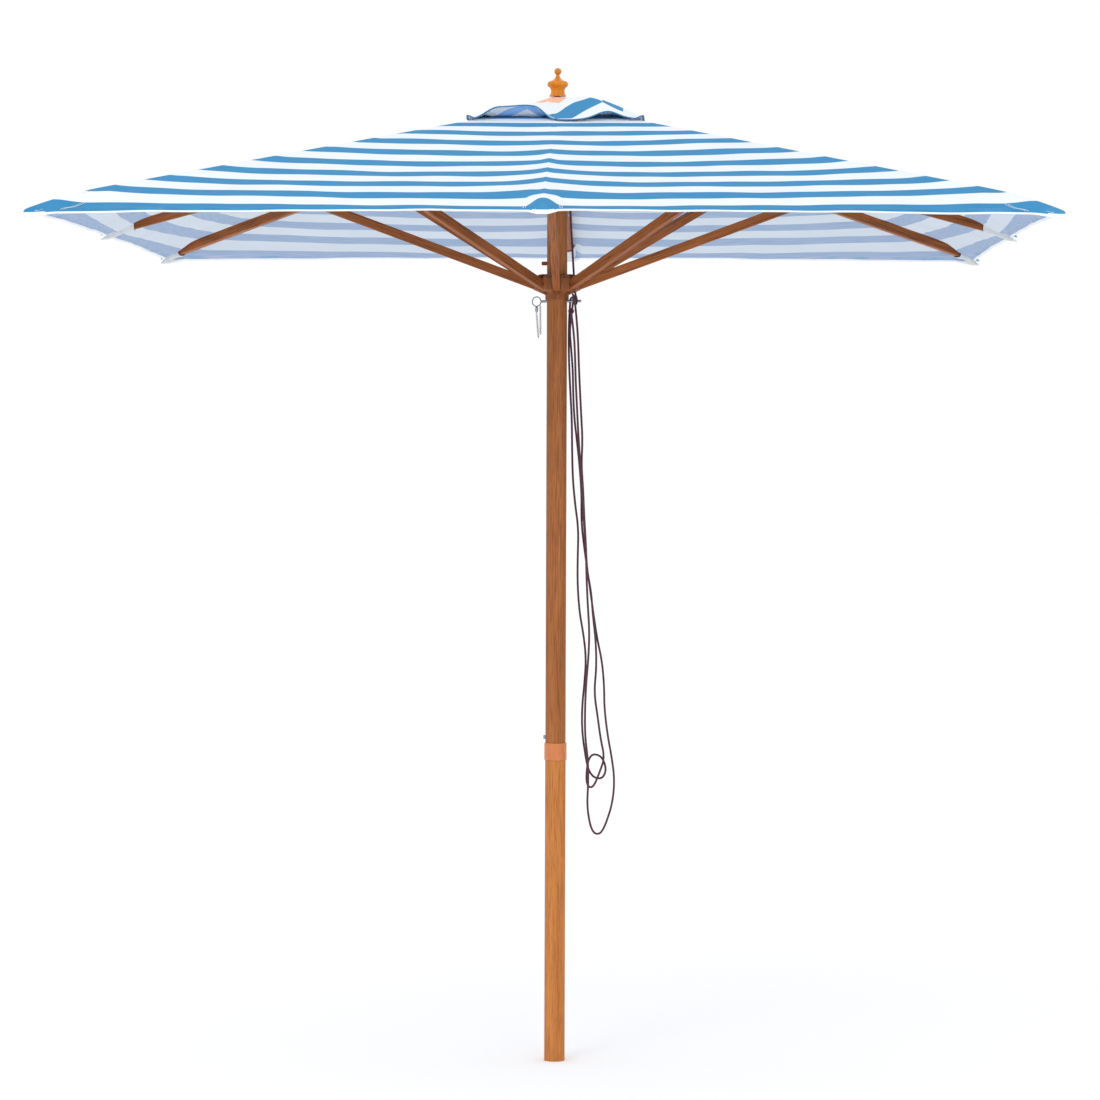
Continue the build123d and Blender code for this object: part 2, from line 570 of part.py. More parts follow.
LONG_LOOP = [
    (43.4, -24.6, 1762), (41.0, -28.4, 1784), (36.6, -19.0, 1791), (38.4, -8.6, 1787),
    (36.8, -6.8, 1764), (32.6, -8.2, 1736), (30.0, -8.2, 1704), (33.4, -7.8, 1666),
    (37.6, -7.6, 1614), (38.6, -7.6, 1560), (41.2, -7.6, 1505), (48.0, -7.6, 1448),
    (54.6, -7.6, 1388), (59.2, -7.6, 1324), (58.6, -7.6, 1260), (66.4, -7.6, 1196),
    (76.4, -7.6, 1128), (86.0, -7.6, 1060), (96.0, -7.6, 992), (108.4, -7.6, 936),
    (113.6, -7.6, 876), (113.8, -7.6, 830), (121.4, -7.6, 766), (131.8, -7.6, 712),
    (138.8, -7.6, 658), (133.6, -8.0, 604), (120.6, -9.2, 563), (112.4, -10.4, 543.6),
    (104.6, -11.6, 533.6), (94.6, -12.8, 533.2), (86.6, -14.0, 542), (80.4, -15.6, 561),
    (74.6, -18.0, 602), (77.4, -20.0, 652), (76.8, -20.0, 706),
    (69.6, -20.0, 760), (69.0, -20.0, 820), (71.4, -20.0, 884), (77.0, -20.0, 948),
    (78.8, -20.0, 1008), (74.4, -20.0, 1072), (71.2, -20.0, 1140), (70.0, -20.0, 1200),
    (64.4, -20.0, 1268), (60.4, -20.0, 1332), (55.8, -20.0, 1396), (51.4, -20.0, 1462),
    (48.0, -20.2, 1526), (44.6, -20.8, 1590), (43.0, -21.8, 1650), (40.0, -24.2, 1702),
    (34.5, -29.5, 1744),
]


def bend_radii(points, own):
    """One radius for each corner of a route: its own, or as large as the two runs beside it allow."""
    corners = [Vector(*p) for p in points]
    radii = []
    for i, (a, b, c) in enumerate(zip(corners, corners[1:], corners[2:]), start=1):
        turn = (b - a).get_angle(c - b)
        run = min((b - a).length, (c - b).length)
        radii.append(own.get(i, 0.45 * run / tan(radians(turn / 2))))
    return radii


def make_cord(name, points, own):
    radii = bend_radii(points, own)
    print(name, "bend radii", [round(r, 1) for r in radii])
    with BuildPart() as tube:
        with BuildLine():
            route = FilletPolyline(*points, radius=radii)
        with BuildSketch(Plane(origin=route @ 0, z_dir=route % 0)):
            Circle(CORD_D / 2)
        sweep(path=route)
    length = route.length
    section = pi * CORD_D**2 / 4
    print(name, "length", round(length), "volume ratio", round(tube.part.volume / section / length, 4))
    finish(tube.part, name)


make_cord("lift_cord_haul", HAUL, {3: PULLEY_PITCH_R - 0.1, 4: PULLEY_PITCH_R - 0.1})
make_cord("lift_cord_short_loop", SHORT_LOOP, {})
make_cord("lift_cord_long_loop", LONG_LOOP, {})

KNOT_R = 7.0
with BuildPart() as knots:
    for end, before in ((HAUL[0], HAUL[1]), (LONG_LOOP[-1], LONG_LOOP[-2])):
        way = (Vector(*end) - Vector(*before)).normalized()
        at = Vector(*end) + way * (KNOT_R - 0.2)
        with Locations(tuple(at)):
            Sphere(KNOT_R)
finish(knots.part, "cord_knots")
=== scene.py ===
"""Looks of the square wooden market umbrella: striped canvas, vent cap, cord and finishes.

Lengths in the shape functions are millimetres; meshes and UVs are written in metres.
"""
from math import cos, pi, radians, sin, sqrt, tan

import bpy
import numpy as np
from mathutils import Matrix, Vector


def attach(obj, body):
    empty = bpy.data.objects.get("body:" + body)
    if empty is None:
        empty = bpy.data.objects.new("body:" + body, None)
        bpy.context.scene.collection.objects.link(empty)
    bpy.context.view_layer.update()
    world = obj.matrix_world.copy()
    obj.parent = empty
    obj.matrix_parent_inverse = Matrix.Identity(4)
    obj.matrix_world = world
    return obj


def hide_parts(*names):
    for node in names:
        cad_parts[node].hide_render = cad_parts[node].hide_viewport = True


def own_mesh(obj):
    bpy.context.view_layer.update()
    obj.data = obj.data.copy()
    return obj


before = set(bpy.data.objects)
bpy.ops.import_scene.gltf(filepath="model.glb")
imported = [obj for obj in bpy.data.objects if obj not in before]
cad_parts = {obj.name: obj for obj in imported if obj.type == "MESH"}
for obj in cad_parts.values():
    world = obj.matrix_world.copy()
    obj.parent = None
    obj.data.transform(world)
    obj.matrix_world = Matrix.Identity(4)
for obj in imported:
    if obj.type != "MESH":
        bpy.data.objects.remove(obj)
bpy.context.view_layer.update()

# ---- places and sizes ---------------------------------------------------------------
MM = 0.001
SIDES = {"right": 0, "back": 90, "left": 180, "front": 270}
CORNERS = {"back_right": 45, "back_left": 135, "front_left": 225, "front_right": 315}
AZIMUTHS = {**SIDES, **CORNERS}

CANOPY_HALF = 1050.0
VENT_HALF = 112.0
CAP_HALF = 200.0
CROWN_HALF = 52.0
SIDE_SLOPE, SIDE_TOP_Z = 15.0, 2218.1       # a side rib's top edge, at PIVOT_R from the axis
CORNER_SLOPE, CORNER_TOP_Z = 10.96, 2220.9
PIVOT_R = 42.0
RIB_DEPTH = 24.0
RIB_TAPER = 200.0
RIB_TIP_DROP = 15.0
SIDE_TIP_S = CANOPY_HALF + 12.5
CORNER_TIP_S = CANOPY_HALF * sqrt(2) + 12.0
STRIPE_PITCH = 101.3
STRIPE_AT = 252.0                           # middle of the first blue stripe
BLUE_SHARE = 0.47
STRIPE_END = 1080.0                         # cloth coordinates stop here, inside the edge's blue stripe
SIDE_LIFT, CORNER_LIFT = 1.6, 2.6           # the cloth's upper face above a rib
SAG = 12.0                                  # of the cloth between the ribs
TENT_HALF, TENT_DEPTH = 34.0, 14.0          # the tent of cloth over a rib's tip
CLOTH = 0.001                               # thickness, metres
THREAD_PITCH = 0.0011                       # of the weave, metres
CORD_D = 0.005                              # metres
CORD_LENGTH = 5.85                          # metres
BRAID_PITCH = 0.0055                        # metres


def ray(azimuth):
    return np.array((cos(radians(azimuth)), sin(radians(azimuth)), 0.0))


def smooth(x):
    x = np.clip(x, 0.0, 1.0)
    return x * x * (3 - 2 * x)


def bell(x):
    return np.exp(-x * x)


def add_object(name, data):
    obj = bpy.data.objects.new(name, data)
    bpy.context.scene.collection.objects.link(obj)
    return obj


# ---- camera, as the photograph's viewing angle --------------------------------------
def make_camera():
    data = bpy.data.cameras.new("camera")
    data.lens, data.sensor_width = 123.86, 36.0
    data.clip_end = 200.0
    yaw, pitch, roll = 0.0305, 0.0303, 0.0035
    forward = Vector((-sin(yaw) * cos(pitch), cos(yaw) * cos(pitch), -sin(pitch)))
    level = Vector((cos(yaw), sin(yaw), 0.0))
    right = level * cos(roll) + level.cross(forward) * sin(roll)
    up = right.cross(forward)
    camera = add_object("camera", data)
    turn = Matrix((right, up, -forward)).transposed().to_4x4()
    camera.matrix_world = Matrix.Translation((0.2548, -8.8214, 1.4628)) @ turn
    bpy.context.scene.camera = camera


make_camera()

# ---- materials ----------------------------------------------------------------------


def new_material(name, roughness=0.6):
    material = bpy.data.materials.new(name)
    material.use_nodes = True
    nodes, links = material.node_tree.nodes, material.node_tree.links
    shader = nodes["Principled BSDF"]
    shader.inputs["Roughness"].default_value = roughness
    return material, nodes, links, shader


def math_node(nodes, links, operation, first, second=0.5):
    node = nodes.new("ShaderNodeMath")
    node.operation = operation
    for socket, value in zip(node.inputs, (first, second)):
        if isinstance(value, (int, float)):
            socket.default_value = value
        else:
            links.new(value, socket)
    return node.outputs[0]


def mix_colours(nodes, links, factor, first, second):
    node = nodes.new("ShaderNodeMix")
    node.data_type = "RGBA"
    for socket, value in zip((node.inputs[0], node.inputs[6], node.inputs[7]), (factor, first, second)):
        if isinstance(value, (int, float)):
            socket.default_value = value
        elif isinstance(value, tuple):
            socket.default_value = (*value, 1.0)
        else:
            links.new(value, socket)
    return node.outputs[2]


def map_range(nodes, links, value, low, high, to_low=0.0, to_high=1.0):
    node = nodes.new("ShaderNodeMapRange")
    links.new(value, node.inputs[0])
    for socket, number in zip(node.inputs[1:5], (low, high, to_low, to_high)):
        socket.default_value = number
    return node.outputs[0]


def noise(nodes, links, vector, scale, stretch=(1, 1, 1), detail=3.0, turn=(0, 0, 0)):
    mapping = nodes.new("ShaderNodeMapping")
    mapping.inputs["Scale"].default_value = stretch
    mapping.inputs["Rotation"].default_value = turn
    links.new(vector, mapping.inputs["Vector"])
    node = nodes.new("ShaderNodeTexNoise")
    node.inputs["Scale"].default_value = scale
    node.inputs["Detail"].default_value = detail
    links.new(mapping.outputs[0], node.inputs["Vector"])
    return node.outputs["Fac"]


def bump(nodes, links, shader, height, strength, distance):
    node = nodes.new("ShaderNodeBump")
    node.inputs["Strength"].default_value = strength
    node.inputs["Distance"].default_value = distance
    links.new(height, node.inputs["Height"])
    links.new(node.outputs[0], shader.inputs["Normal"])


def weave(nodes, links, uv, u, v):
    """Height of a plain weave with a thread about every millimetre."""
    turns_per_metre = 2 * pi / THREAD_PITCH
    waves = [
        math_node(nodes, links, "SINE", math_node(nodes, links, "MULTIPLY", way, turns_per_metre))
        for way in (u, v)
    ]
    return math_node(nodes, links, "MULTIPLY", *waves)


def canvas(name, pale, blue):
    """Striped woven canvas. The UV map holds cloth coordinates in metres, v square to the stripes."""
    material, nodes, links, shader = new_material(name, 0.85)
    uv = nodes.new("ShaderNodeUVMap").outputs[0]
    split = nodes.new("ShaderNodeSeparateXYZ")
    links.new(uv, split.inputs[0])
    u, v = split.outputs[0], split.outputs[1]
    waver = map_range(nodes, links, noise(nodes, links, uv, 9.0, detail=1.0), 0.3, 0.7, -0.0012, 0.0012)
    at = math_node(nodes, links, "ADD", v, waver)
    turns = math_node(nodes, links, "DIVIDE", math_node(nodes, links, "SUBTRACT", at, STRIPE_AT * MM),
                      STRIPE_PITCH * MM)
    near = math_node(nodes, links, "FRACT", math_node(nodes, links, "ADD", turns, 20.5))
    off = math_node(nodes, links, "ABSOLUTE", math_node(nodes, links, "SUBTRACT", near, 0.5))
    half = BLUE_SHARE / 2
    stripe = map_range(nodes, links, off, half - 0.006, half + 0.006, 1.0, 0.0)
    cloudy = noise(nodes, links, uv, 6.0)
    streaky = noise(nodes, links, uv, 60.0, (0.25, 9.0, 1.0))
    deeper = tuple(c * k for c, k in zip(blue, (0.78, 0.90, 0.93)))
    lighter = tuple(min(c * k, 1.0) for c, k in zip(blue, (1.35, 1.10, 1.05)))
    dyed = mix_colours(nodes, links, map_range(nodes, links, streaky, 0.35, 0.65), deeper, lighter)
    greyer = tuple(c * 0.955 for c in pale)
    plain = mix_colours(nodes, links, map_range(nodes, links, cloudy, 0.35, 0.65), greyer, pale)
    colour = mix_colours(nodes, links, stripe, plain, dyed)
    links.new(colour, shader.inputs["Base Color"])
    shader.inputs["Sheen Weight"].default_value = 0.03
    shader.inputs["Specular IOR Level"].default_value = 0.1
    bump(nodes, links, shader, weave(nodes, links, uv, u, v), 0.25, 0.0002)
    return material


def plain_cloth(name, colour, shade, scale=90.0):
    material, nodes, links, shader = new_material(name, 0.88)
    where = nodes.new("ShaderNodeTexCoord").outputs["Object"]
    mottle = map_range(nodes, links, noise(nodes, links, where, scale), 0.3, 0.7)
    links.new(mix_colours(nodes, links, mottle, shade, colour), shader.inputs["Base Color"])
    shader.inputs["Sheen Weight"].default_value = 0.1
    shader.inputs["Specular IOR Level"].default_value = 0.2
    bump(nodes, links, shader, noise(nodes, links, where, 900.0), 0.35, 0.0003)
    return material


def wood(name, dark, light, azimuth=0.0, slope=90.0, roughness=0.5, coat=0.0):
    """Stained hardwood whose grain runs along a direction given by azimuth and slope, in degrees."""
    material, nodes, links, shader = new_material(name, roughness)
    where = nodes.new("ShaderNodeTexCoord").outputs["Object"]
    level = nodes.new("ShaderNodeVectorRotate")
    level.rotation_type = "Z_AXIS"
    level.inputs["Angle"].default_value = -radians(azimuth)
    links.new(where, level.inputs["Vector"])
    along = nodes.new("ShaderNodeVectorRotate")
    along.rotation_type = "Y_AXIS"
    along.inputs["Angle"].default_value = radians(slope)
    links.new(level.outputs[0], along.inputs["Vector"])
    grain_way = along.outputs[0]
    broad = noise(nodes, links, grain_way, 1.0, (3.5, 60.0, 60.0), 4.0)
    fine = noise(nodes, links, grain_way, 1.0, (14.0, 420.0, 420.0), 4.0)
    pores = noise(nodes, links, grain_way, 1.0, (45.0, 1500.0, 1500.0), 2.0)
    middle = tuple((a + b) / 2 for a, b in zip(dark, light))
    colour = mix_colours(nodes, links, map_range(nodes, links, broad, 0.30, 0.70), middle, light)
    colour = mix_colours(nodes, links, map_range(nodes, links, fine, 0.34, 0.52, 0.75, 0.0), colour, dark)
    pits = map_range(nodes, links, pores, 0.60, 0.72)
    deep = tuple(c * 0.45 for c in dark)
    colour = mix_colours(nodes, links, math_node(nodes, links, "MULTIPLY", pits, 0.6), colour, deep)
    links.new(colour, shader.inputs["Base Color"])
    shader.inputs["Specular IOR Level"].default_value = 0.2
    shader.inputs["Coat Weight"].default_value = coat
    shader.inputs["Coat Roughness"].default_value = 0.3
    bump(nodes, links, shader, fine, 0.25, 0.0004)
    return material


def metal(name, colour, roughness, brushed=(1, 1, 1)):
    material, nodes, links, shader = new_material(name, roughness)
    where = nodes.new("ShaderNodeTexCoord").outputs["Object"]
    scratch = noise(nodes, links, where, 700.0, brushed)
    duller = tuple(c * 0.72 for c in colour)
    worn = map_range(nodes, links, scratch, 0.35, 0.65)
    links.new(mix_colours(nodes, links, worn, duller, colour), shader.inputs["Base Color"])
    links.new(map_range(nodes, links, scratch, 0.3, 0.7, roughness - 0.08, roughness + 0.12),
              shader.inputs["Roughness"])
    shader.inputs["Metallic"].default_value = 1.0
    bump(nodes, links, shader, scratch, 0.1, 0.0002)
    return material


def enamel(name, colour, roughness=0.35):
    material, nodes, links, shader = new_material(name, roughness)
    where = nodes.new("ShaderNodeTexCoord").outputs["Object"]
    patchy = map_range(nodes, links, noise(nodes, links, where, 45.0), 0.3, 0.7)
    deeper = tuple(c * 0.85 for c in colour)
    links.new(mix_colours(nodes, links, patchy, deeper, colour), shader.inputs["Base Color"])
    shader.inputs["Coat Weight"].default_value = 0.3
    shader.inputs["Coat Roughness"].default_value = 0.15
    bump(nodes, links, shader, noise(nodes, links, where, 500.0), 0.12, 0.0002)
    return material


def braid(name, dark, light, per_metre, around):
    """Braided cord, with painted shade in the grooves between its strands. The curve's own UVs run along
    and around it.
    """
    material, nodes, links, shader = new_material(name, 0.75)
    uv = nodes.new("ShaderNodeTexCoord").outputs["UV"]
    split = nodes.new("ShaderNodeSeparateXYZ")
    links.new(uv, split.inputs[0])
    length = math_node(nodes, links, "MULTIPLY", split.outputs[0], per_metre)
    girth = math_node(nodes, links, "MULTIPLY", split.outputs[1], around)
    strands = [
        math_node(nodes, links, "ABSOLUTE", math_node(nodes, links, "SINE",
                  math_node(nodes, links, way, math_node(nodes, links, "MULTIPLY", length, pi),
                            math_node(nodes, links, "MULTIPLY", girth, pi))))
        for way in ("ADD", "SUBTRACT")
    ]
    height = math_node(nodes, links, "MULTIPLY", *strands)
    # painted shade: the grooves between the strands take the dark colour, the strands' crowns the light
    # one
    links.new(mix_colours(nodes, links, height, dark, light), shader.inputs["Base Color"])
    shader.inputs["Sheen Weight"].default_value = 0.2
    bump(nodes, links, shader, height, 0.6, 0.0006)
    return material


TOP_WHITE, TOP_BLUE = (0.82, 0.87, 0.94), (0.045, 0.258, 0.510)
UNDER_WHITE, UNDER_BLUE = (0.64, 0.715, 0.812), (0.31, 0.435, 0.625)
canvas_top = canvas("canvas_top", TOP_WHITE, TOP_BLUE)
canvas_under = canvas("canvas_under", UNDER_WHITE, UNDER_BLUE)
cap_top = canvas("cap_top", TOP_WHITE, TOP_BLUE)
# painted light: the cap's underside is lighter and bluer than the same cloth under the canopy, standing
# for light shining through the cap from above
cap_under_painted_light = canvas("cap_under_painted_light", (0.95, 0.96, 0.99), (0.30, 0.56, 0.95))
binding_blue = plain_cloth("binding_blue", (0.060, 0.26, 0.52), (0.035, 0.17, 0.38), 200.0)
hem_white = plain_cloth("hem_white", (0.88, 0.92, 0.95), (0.80, 0.85, 0.90))
pocket_grey = plain_cloth("pocket_grey", (0.66, 0.69, 0.73), (0.55, 0.58, 0.62))
patch_peach = plain_cloth("patch_peach", (0.93, 0.53, 0.37), (0.87, 0.45, 0.30), 160.0)
thread_white = plain_cloth("thread_white", (0.9, 0.92, 0.94), (0.75, 0.78, 0.80), 900.0)


# ---- lift cord ----------------------------------------------------------------------
# From a knot under the runner, over the pulley, twice round the pin, and down in two loops.
HAUL = [
    (-0.0168, 0.0407, 1.784), (-0.0168, 0.0407, 1.838), (-0.0238, 0.0137, 2.108),
    (-0.0238, 0.0137, 2.1775), (0.0238, -0.0137, 2.1775), (0.0238, -0.0137, 2.108),
    (0.0414, -0.0166, 1.792), (0.0462, -0.0124, 1.783), (0.046, -0.0126, 1.767),
    (0.0406, -0.0244, 1.767), (0.0398, -0.024, 1.783), (0.0315, -0.006, 1.783),
    (0.0304, -0.0046, 1.766), (0.0284, -0.0028, 1.735),
]
SHORT_LOOP = [
    (0.0276, -0.002, 1.69), (0.0284, -0.0012, 1.632), (0.032, -0.001, 1.56),
    (0.0356, -0.001, 1.5), (0.0364, -0.001, 1.43), (0.038, -0.001, 1.365),
    (0.0434, -0.001, 1.306), (0.052, -0.001, 1.245), (0.0504, -0.001, 1.18),
    (0.05, -0.001, 1.117), (0.055, -0.001, 1.05), (0.0644, -0.001, 1), (0.071, -0.001, 0.943),
    (0.0672, -0.001, 0.884), (0.0616, -0.001, 0.828), (0.062, -0.001, 0.772),
    (0.069, -0.0012, 0.722), (0.076, -0.0016, 0.684), (0.089, -0.0024, 0.664),
    (0.11, -0.0038, 0.661), (0.12, -0.005, 0.684), (0.109, -0.0062, 0.714),
    (0.087, -0.0074, 0.721), (0.0764, -0.0084, 0.704), (0.0736, -0.009, 0.683),
    (0.0728, -0.0095, 0.666), (0.0736, -0.01, 0.653), (0.0772, -0.0104, 0.6444),
    (0.0834, -0.0108, 0.6414), (0.0896, -0.0112, 0.6456), (0.0956, -0.0118, 0.657),
    (0.104, -0.0126, 0.679), (0.1154, -0.0134, 0.711), (0.1054, -0.0136, 0.757),
    (0.0988, -0.0136, 0.806), (0.09, -0.0136, 0.864), (0.0954, -0.0136, 0.922),
    (0.0936, -0.0136, 0.985), (0.0864, -0.0136, 1.045), (0.0826, -0.0136, 1.098),
    (0.072, -0.0136, 1.152), (0.0694, -0.0136, 1.216), (0.0652, -0.0136, 1.28),
    (0.0626, -0.0136, 1.34), (0.0584, -0.0138, 1.394), (0.061, -0.014, 1.452),
    (0.0576, -0.0144, 1.51), (0.0544, -0.015, 1.57), (0.0516, -0.0158, 1.63),
    (0.0496, -0.0168, 1.69), (0.046, -0.018, 1.735), (0.0434, -0.0246, 1.762),
]
LONG_LOOP = [
    (0.041, -0.0284, 1.784), (0.0366, -0.019, 1.791), (0.0384, -0.0086, 1.787),
    (0.0368, -0.0068, 1.764), (0.0326, -0.0082, 1.736), (0.03, -0.0082, 1.704),
    (0.0334, -0.0078, 1.666), (0.0376, -0.0076, 1.614), (0.0386, -0.0076, 1.56),
    (0.0412, -0.0076, 1.505), (0.048, -0.0076, 1.448), (0.0546, -0.0076, 1.388),
    (0.0592, -0.0076, 1.324), (0.0586, -0.0076, 1.26), (0.0664, -0.0076, 1.196),
    (0.0764, -0.0076, 1.128), (0.086, -0.0076, 1.06), (0.096, -0.0076, 0.992),
    (0.1084, -0.0076, 0.936), (0.1136, -0.0076, 0.876), (0.1138, -0.0076, 0.83),
    (0.1214, -0.0076, 0.766), (0.1318, -0.0076, 0.712), (0.1388, -0.0076, 0.658),
    (0.1336, -0.008, 0.604), (0.1206, -0.0092, 0.563), (0.1124, -0.0104, 0.5436),
    (0.1046, -0.0116, 0.5336), (0.0946, -0.0128, 0.5332), (0.0866, -0.014, 0.542),
    (0.0804, -0.0156, 0.561), (0.0746, -0.018, 0.602), (0.0774, -0.02, 0.652),
    (0.0768, -0.02, 0.706), (0.0696, -0.02, 0.76), (0.069, -0.02, 0.82), (0.0714, -0.02, 0.884),
    (0.077, -0.02, 0.948), (0.0788, -0.02, 1.008), (0.0744, -0.02, 1.072),
    (0.0712, -0.02, 1.14), (0.07, -0.02, 1.2), (0.0644, -0.02, 1.268), (0.0604, -0.02, 1.332),
    (0.0558, -0.02, 1.396), (0.0514, -0.02, 1.462), (0.048, -0.0202, 1.526),
    (0.0446, -0.0208, 1.59), (0.043, -0.0218, 1.65), (0.04, -0.0242, 1.702),
    (0.0345, -0.0295, 1.744),
]


def place_cord():
    data = bpy.data.curves.new("lift_cord", "CURVE")
    data.dimensions = "3D"
    spline = data.splines.new("NURBS")
    route = HAUL + SHORT_LOOP + LONG_LOOP
    spline.points.add(len(route) - 1)
    for point, place in zip(spline.points, route):
        point.co = (*place, 1.0)
    spline.order_u = 3
    spline.use_endpoint_u = True
    data.resolution_u = 8
    data.bevel_depth = CORD_D / 2
    data.bevel_resolution = 5
    data.use_fill_caps = True
    cord = add_object("lift_cord", data)
    data.materials.append(cord_braid)
    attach(cord, "upper_pole")
    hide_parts("lift_cord_haul", "lift_cord_short_loop", "lift_cord_long_loop")


# the dark colour is painted shade in the braid's grooves, and the darker tone of the knots' random mottle
CORD_MOTTLE_AND_GROOVE_SHADE, CORD_LIGHT = (0.030, 0.006, 0.014), (0.130, 0.022, 0.055)
cord_braid = braid("cord_braid", CORD_MOTTLE_AND_GROOVE_SHADE, CORD_LIGHT, CORD_LENGTH / BRAID_PITCH, 8.0)
place_cord()


# ---- sheets of cloth ----------------------------------------------------------------
def rib_line(d, corner):
    """Height of a rib's top edge, at a distance d from the axis square to the canopy's side."""
    slope, top, per_d, tip = (
        (CORNER_SLOPE, CORNER_TOP_Z, sqrt(2), CORNER_TIP_S) if corner
        else (SIDE_SLOPE, SIDE_TOP_Z, 1.0, SIDE_TIP_S)
    )
    s = d * per_d
    taper = RIB_TAPER * cos(radians(slope))
    past = np.maximum(0.0, (s - (tip - taper)) / taper)
    return top - (s - PIVOT_R) * tan(radians(slope)) - RIB_TIP_DROP * past**2


def tent(across, half, flat=10.0):
    """One over a rib, falling to nothing at a distance half beside it."""
    rise = np.clip((half - np.abs(across)) / (half - flat), 0.0, 1.0)
    return 0.55 * rise + 0.45 * smooth(rise)


def ripple(x, y):
    """Shallow puckers that every stretched canvas has."""
    return (
        0.55 * np.sin(x / 47.0 + 1.3 * np.sin(y / 83.0))
        + 0.40 * np.sin(y / 39.0 + 1.7 * np.sin(x / 71.0) + 2.0)
        + 0.30 * np.sin((x + y) / 23.0 + 0.8)
    )


def canopy_height(d, t):
    """Upper face of the canopy, at d from the axis and t of the way from a side rib to a corner."""
    t = np.abs(t)
    across, aside = t * d, (1 - t) * d / sqrt(2)
    blend = smooth(t)
    over_side, over_corner = rib_line(d, False) + SIDE_LIFT, rib_line(d, True) + CORNER_LIFT
    height = over_side * (1 - blend) + over_corner * blend
    # between the ribs the cloth sags, and near the edge it leaves the ribs as tents over their tips
    off_ribs = (1 - np.exp(-((across / 70) ** 0.9))) * (1 - np.exp(-((aside / 90) ** 0.9)))
    sag = SAG * smooth((d - 250) / 500) * off_ribs
    off_tents = (1 - tent(across, TENT_HALF)) * (1 - tent(aside, TENT_HALF))
    taut = (TENT_DEPTH - 5.5 * smooth((d - 1015) / 35)) * off_tents
    edge = smooth((d - 960) / 60)
    return height - sag * (1 - edge) - taut * edge


# How the cloth's last rows turn down: rows, their drop between the ribs, and their place and
# drop over a rib's tip.
FALL_ROWS = (1036, 1039, 1041.5, 1043.5, 1045.5, 1047.5, 1050)
FALL = (0.0, 0.7, 1.4, 2.2, 3.2, 4.2, 5.4)
TIP_OUT = (1058.0, 1063.5, 1065.4, 1065.8, 1064.2, 1064.6, 1065.4)
TIP_FALL = (0.0, 0.8, 3.2, 5.5, 8.0, 11.0, 14.5)


def over_rib_tip(t):
    """One over the end of a rib, side or corner, and nothing away from it."""
    t = np.abs(t)
    across, aside = t * CANOPY_HALF, (1 - t) * CANOPY_HALF / sqrt(2)
    return np.maximum(tent(across, TENT_HALF), tent(aside, TENT_HALF))


def edge_out(d, t):
    """Where row d of the cloth lies: pushed out over the rib tips, pulled in between them."""
    t = np.abs(t)
    between = d + (5 * (2 * t - 1) ** 2 - 3) * np.clip((d - 900) / 150, 0, 1) ** 1.5
    tip = np.interp(d, (0, 900, *FALL_ROWS), (0, 900, *TIP_OUT)) + 0.8 * t * (d > 1030)
    over = over_rib_tip(t)
    return between * (1 - over) + tip * over


def grid_object(name, points, uvs, materials):
    """A smooth sheet from a grid of points in millimetres and its cloth coordinates in metres."""
    rows, columns = points.shape[:2]
    index = np.arange(rows * columns).reshape(rows, columns)
    faces = np.stack([index[:-1, :-1], index[1:, :-1], index[1:, 1:], index[:-1, 1:]], -1).reshape(-1, 4)
    mesh = bpy.data.meshes.new(name)
    mesh.from_pydata((points.reshape(-1, 3) * MM).tolist(), [], faces.tolist())
    layer = mesh.uv_layers.new(name="cloth")
    layer.data.foreach_set("uv", uvs.reshape(-1, 2)[faces.reshape(-1)].astype(np.float32).ravel())
    mesh.shade_smooth()
    for material in materials:
        mesh.materials.append(material)
    return add_object(name, mesh)


def thicken(obj, thickness, inner=0, rim=True):
    solid = obj.modifiers.new("cloth", "SOLIDIFY")
    solid.thickness = thickness
    solid.offset = -1.0
    solid.material_offset = inner
    solid.use_rim = rim


def spread(fine, step, count, far):
    """Distances from a rib: fine steps beside it, then even ones out to the seam."""
    near = np.arange(0, fine, step)
    return np.concatenate([near, np.linspace(fine, far, count)])


SEAM = tan(radians(22.5))                    # t of the cut between a side rib's piece and a corner's
SEAM_COLUMNS = spread(45.0, 3.0, 26, SEAM * CANOPY_HALF) / CANOPY_HALF
CORNER_COLUMNS = 1 - spread(66.0, 4.5, 30, (1 - SEAM) * CANOPY_HALF) / CANOPY_HALF


def sector_columns(name):
    """(azimuth of the panel, t) for each column of a rib's piece, counter-clockwise."""
    azimuth = AZIMUTHS[name]
    if name in SIDES:
        return [(azimuth, t) for t in (*-SEAM_COLUMNS[:0:-1], *SEAM_COLUMNS)]
    before = [(azimuth - 45, t) for t in CORNER_COLUMNS[::-1]]
    after = [(azimuth + 45, -t) for t in CORNER_COLUMNS[1:]]
    return before + after


CLOTH_ROWS = np.concatenate([
    np.linspace(VENT_HALF, 900, 66), np.linspace(908, 1000, 12), np.linspace(1004, 1036, 9),
    FALL_ROWS[1:],
])
HEM_ROW = 1045.5                            # where the white hem starts


def canopy_points(name):
    azimuths, ts = np.array(sector_columns(name)).T
    rows = CLOTH_ROWS[:, None]
    t = np.broadcast_to(ts, (len(CLOTH_ROWS), len(ts)))
    over_tip = over_rib_tip(t)
    d = edge_out(rows, t)
    z = canopy_height(d, t)
    z = z - np.interp(rows, FALL_ROWS, FALL) * (1 - over_tip)
    z = z - np.interp(rows, FALL_ROWS, TIP_FALL) * over_tip
    turn = np.radians(azimuths)
    x = d * np.cos(turn) - t * d * np.sin(turn)
    y = d * np.sin(turn) + t * d * np.cos(turn)
    free = (1 - over_tip) * smooth((rows - 150) / 200)
    z = z + ripple(x, y) * free
    # the stripes run a little nearer the axis at the corners, and arch over the side ribs' tips
    v = rows + 17 * smooth((rows - 985) / 40) + 36 * smooth(np.abs(t)) * smooth((rows - 150) / 300)
    v = v + 40 * tent(t * CANOPY_HALF, 40, 3) * smooth((rows - 955) / 34)
    return np.stack([x, y, z], -1), np.stack([t * rows, np.minimum(v, STRIPE_END)], -1) * MM


